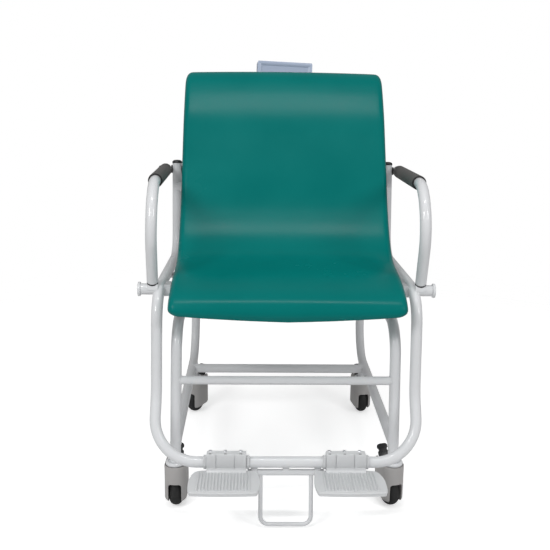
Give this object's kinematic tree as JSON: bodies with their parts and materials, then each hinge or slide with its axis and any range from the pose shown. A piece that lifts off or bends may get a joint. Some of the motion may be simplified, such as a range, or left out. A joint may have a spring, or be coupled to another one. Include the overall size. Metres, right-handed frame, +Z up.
{
  "type": "digital chair scale",
  "caption": "Castored weighing chair: moulded one-piece seat on a tubular frame over a load cell, with lift-up arms, folding footplates, tip guard and tilting display.",
  "frame": {"origin": "floor level, under the middle of the bounding box", "axes": "+Z up, the sitter looks along -Y, +X to the sitter's left"},
  "size_m": [0.666, 0.8921, 1.0283],
  "materials": {
    "white_powder_coat": "pale grey-white gloss powder coat",
    "teal_skin": "fine-grained teal foam skin, satin",
    "black_rubber": "matte black rubber",
    "grey_foam": "soft dark grey foam sleeve",
    "castor_plastic": "warm grey moulded plastic",
    "dark_plastic": "dark grey moulded plastic",
    "footplate_plastic": "light grey moulded plastic",
    "display_plastic": "pale blue-grey moulded plastic",
    "display_window": "clear window",
    "key_plastic": "blue-grey moulded key",
    "circuit_board": "green solder mask",
    "aluminium": "milled aluminium",
    "shell_steel": "black painted pressed steel"
  },
  "bodies": {
    "root": {"arm_pivot_left": "dark_plastic", "arm_pivot_right": "dark_plastic", "arm_stub_left": "white_powder_coat", "arm_stub_right": "white_powder_coat", "back_bow": "white_powder_coat", "display_head": "dark_plastic", "display_pole": "white_powder_coat", "footrest_collar_left_inner": "footplate_plastic", "footrest_collar_left_outer": "footplate_plastic", "footrest_collar_right_inner": "footplate_plastic", "footrest_collar_right_outer": "footplate_plastic", "front_crossbar": "white_powder_coat", "front_hoop": "white_powder_coat", "front_leg_left": "white_powder_coat", "front_leg_right": "white_powder_coat", "front_seat_bar": "white_powder_coat", "load_beam": "white_powder_coat", "load_cell": "aluminium", "load_plate": "white_powder_coat", "rear_crossbar": "white_powder_coat", "rear_leg_left": "white_powder_coat", "rear_leg_right": "white_powder_coat", "rear_seat_bar": "white_powder_coat", "seat_cushion": "teal_skin", "seat_shell": "shell_steel", "side_tube_left": "white_powder_coat", "side_tube_right": "white_powder_coat", "tip_guard": "white_powder_coat", "upright_cap_left": "dark_plastic", "upright_cap_right": "dark_plastic"},
    "castor_front_left": {"castor_hood_front_left": "castor_plastic"},
    "castor_wheel_front_left": {"wheel_front_left": "black_rubber"},
    "castor_brake_front_left": {"brake_pedal_front_left": "dark_plastic"},
    "castor_front_right": {"castor_hood_front_right": "castor_plastic"},
    "castor_wheel_front_right": {"wheel_front_right": "black_rubber"},
    "castor_brake_front_right": {"brake_pedal_front_right": "dark_plastic"},
    "castor_rear_left": {"castor_hood_rear_left": "castor_plastic"},
    "castor_wheel_rear_left": {"wheel_rear_left": "black_rubber"},
    "castor_brake_rear_left": {"brake_pedal_rear_left": "dark_plastic"},
    "castor_rear_right": {"castor_hood_rear_right": "castor_plastic"},
    "castor_wheel_rear_right": {"wheel_rear_right": "black_rubber"},
    "castor_brake_rear_right": {"brake_pedal_rear_right": "dark_plastic"},
    "footrest_left": {"footplate_left": "footplate_plastic", "footplate_clamp_left": "footplate_plastic"},
    "armrest_left": {"arm_left": "white_powder_coat", "arm_grip_left": "grey_foam", "arm_saddle_left": "black_rubber"},
    "footrest_right": {"footplate_right": "footplate_plastic", "footplate_clamp_right": "footplate_plastic"},
    "armrest_right": {"arm_right": "white_powder_coat", "arm_grip_right": "grey_foam", "arm_saddle_right": "black_rubber"},
    "display": {"display_front_shell": "display_plastic", "display_rear_shell": "display_plastic", "display_lens": "display_window", "display_board": "circuit_board"},
    "key_1": {"display_key_1": "key_plastic"},
    "key_2": {"display_key_2": "key_plastic"},
    "key_3": {"display_key_3": "key_plastic"}
  },
  "joints": [
    {"name": "swivel_front_left", "type": "hinge", "parent": "root", "child": "castor_front_left", "pos_m": [-0.25411, -0.23545, 0.107], "axis": [0, 0, 1], "continuous": true},
    {"name": "roll_front_left", "type": "hinge", "parent": "castor_front_left", "child": "castor_wheel_front_left", "pos_m": [-0.25338, -0.22147, 0.0375], "axis": [0.9986, -0.0523, 0], "continuous": true},
    {"name": "brake_front_left", "type": "hinge", "parent": "castor_front_left", "child": "castor_brake_front_left", "pos_m": [-0.25202, -0.1955, 0.098], "axis": [-0.9986, 0.0523, 0], "range_deg": [0, 15]},
    {"name": "swivel_front_right", "type": "hinge", "parent": "root", "child": "castor_front_right", "pos_m": [0.25411, -0.23545, 0.107], "axis": [0, 0, 1], "continuous": true},
    {"name": "roll_front_right", "type": "hinge", "parent": "castor_front_right", "child": "castor_wheel_front_right", "pos_m": [0.24979, -0.22213, 0.0375], "axis": [0.9511, 0.309, 0], "continuous": true},
    {"name": "brake_front_right", "type": "hinge", "parent": "castor_front_right", "child": "castor_brake_front_right", "pos_m": [0.24175, -0.19741, 0.098], "axis": [-0.9511, -0.309, 0], "range_deg": [0, 15]},
    {"name": "swivel_rear_left", "type": "hinge", "parent": "root", "child": "castor_rear_left", "pos_m": [-0.253, 0.34055, 0.107], "axis": [0, 0, 1], "continuous": true},
    {"name": "roll_rear_left", "type": "hinge", "parent": "castor_rear_left", "child": "castor_wheel_rear_left", "pos_m": [-0.24686, 0.35313, 0.0375], "axis": [0.8988, -0.4384, 0], "continuous": true},
    {"name": "brake_rear_left", "type": "hinge", "parent": "castor_rear_left", "child": "castor_brake_rear_left", "pos_m": [-0.23547, 0.3765, 0.098], "axis": [-0.8988, 0.4384, 0], "range_deg": [0, 15]},
    {"name": "swivel_rear_right", "type": "hinge", "parent": "root", "child": "castor_rear_right", "pos_m": [0.253, 0.34055, 0.107], "axis": [0, 0, 1], "continuous": true},
    {"name": "roll_rear_right", "type": "hinge", "parent": "castor_rear_right", "child": "castor_wheel_rear_right", "pos_m": [0.25105, 0.35441, 0.0375], "axis": [0.9903, 0.1392, 0], "continuous": true},
    {"name": "brake_rear_right", "type": "hinge", "parent": "castor_rear_right", "child": "castor_brake_rear_right", "pos_m": [0.24743, 0.38016, 0.098], "axis": [-0.9903, -0.1392, 0], "range_deg": [0, 15]},
    {"name": "footplate_fold_left", "type": "hinge", "parent": "root", "child": "footrest_left", "pos_m": [-0.1325, -0.32045, 0.152], "axis": [-1, 0, 0], "range_deg": [0, 85]},
    {"name": "arm_lift_left", "type": "hinge", "parent": "root", "child": "armrest_left", "pos_m": [-0.309, 0.19936, 0.745], "axis": [-1, 0, 0], "range_deg": [0, 95]},
    {"name": "footplate_fold_right", "type": "hinge", "parent": "root", "child": "footrest_right", "pos_m": [0.1325, -0.32045, 0.152], "axis": [-1, 0, 0], "range_deg": [0, 85]},
    {"name": "arm_lift_right", "type": "hinge", "parent": "root", "child": "armrest_right", "pos_m": [0.309, 0.19936, 0.745], "axis": [-1, 0, 0], "range_deg": [0, 95]},
    {"name": "display_tilt", "type": "hinge", "parent": "root", "child": "display", "pos_m": [0, 0.32155, 0.981], "axis": [0.9954, 0.0871, -0.0401], "range_deg": [-15, 15]},
    {"name": "key_press_1", "type": "slide", "parent": "display", "child": "key_1", "axis": [-0.0928, 0.9805, -0.1735], "range_m": [0, 0.001], "stiffness_N_per_m": 500},
    {"name": "key_press_2", "type": "slide", "parent": "display", "child": "key_2", "axis": [-0.0928, 0.9805, -0.1735], "range_m": [0, 0.001], "stiffness_N_per_m": 500},
    {"name": "key_press_3", "type": "slide", "parent": "display", "child": "key_3", "axis": [-0.0928, 0.9805, -0.1735], "range_m": [0, 0.001], "stiffness_N_per_m": 500}
  ]
}
